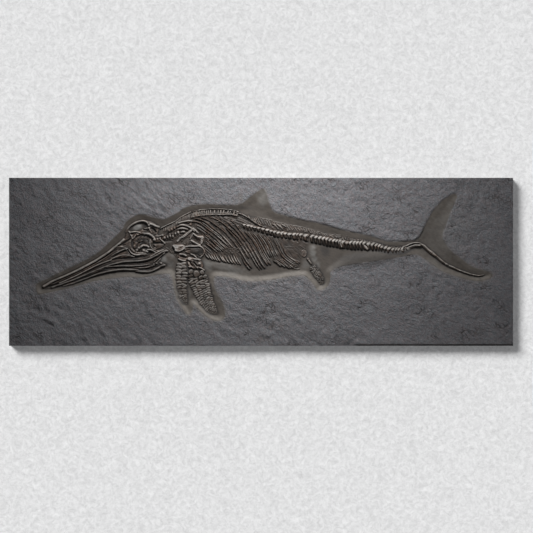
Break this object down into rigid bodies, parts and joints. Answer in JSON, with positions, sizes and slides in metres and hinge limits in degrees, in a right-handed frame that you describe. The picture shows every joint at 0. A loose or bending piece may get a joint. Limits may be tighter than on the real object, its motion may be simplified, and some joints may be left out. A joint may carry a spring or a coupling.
{
  "type": "juvenile ichthyosaur fossil on a shale slab",
  "caption": "Sawn shale slab with a marine reptile's flattened skeleton lying in a shallow recess cut along its body outline.",
  "frame": {"origin": "middle of the slab's underside", "axes": "+X along the slab from the animal's head to its tail, +Y towards its back, +Z out of the face with the skeleton"},
  "size_m": [1.35, 0.45, 0.0318],
  "materials": {
    "shale": "matt split shale, chiselled, with sawn edges",
    "fossil_bone": "dark brown fossil bone with a slight sheen"
  },
  "bodies": {
    "root": {"back_spines": "fossil_bone", "back_vertebrae": "fossil_bone", "belly_ribs": "fossil_bone", "breast_plate": "fossil_bone", "collar_bone": "fossil_bone", "far_fore_flipper": "fossil_bone", "far_upper_arm": "fossil_bone", "hind_flipper": "fossil_bone", "hip_bone": "fossil_bone", "loin_spines": "fossil_bone", "lower_jaw": "fossil_bone", "near_fore_flipper": "fossil_bone", "near_upper_arm": "fossil_bone", "neck_rib_1": "fossil_bone", "neck_rib_2": "fossil_bone", "neck_rib_3": "fossil_bone", "neck_spines": "fossil_bone", "neck_vertebrae": "fossil_bone", "rib_01": "fossil_bone", "rib_02": "fossil_bone", "rib_03": "fossil_bone", "rib_04": "fossil_bone", "rib_05": "fossil_bone", "rib_06": "fossil_bone", "rib_07": "fossil_bone", "rib_08": "fossil_bone", "rib_09": "fossil_bone", "rib_10": "fossil_bone", "rib_11": "fossil_bone", "rib_12": "fossil_bone", "rib_13": "fossil_bone", "rib_14": "fossil_bone", "rib_15": "fossil_bone", "rib_16": "fossil_bone", "rib_17": "fossil_bone", "rib_18": "fossil_bone", "rib_19": "fossil_bone", "rib_20": "fossil_bone", "rib_21": "fossil_bone", "rib_22": "fossil_bone", "sclerotic_ring": "fossil_bone", "shale_slab": "shale", "shoulder_blade": "fossil_bone", "shoulder_splint": "fossil_bone", "skull": "fossil_bone", "tail_fin_vertebrae": "fossil_bone", "tail_vertebrae": "fossil_bone", "thigh_bone": "fossil_bone", "throat_plate": "fossil_bone"}
  },
  "joints": []
}
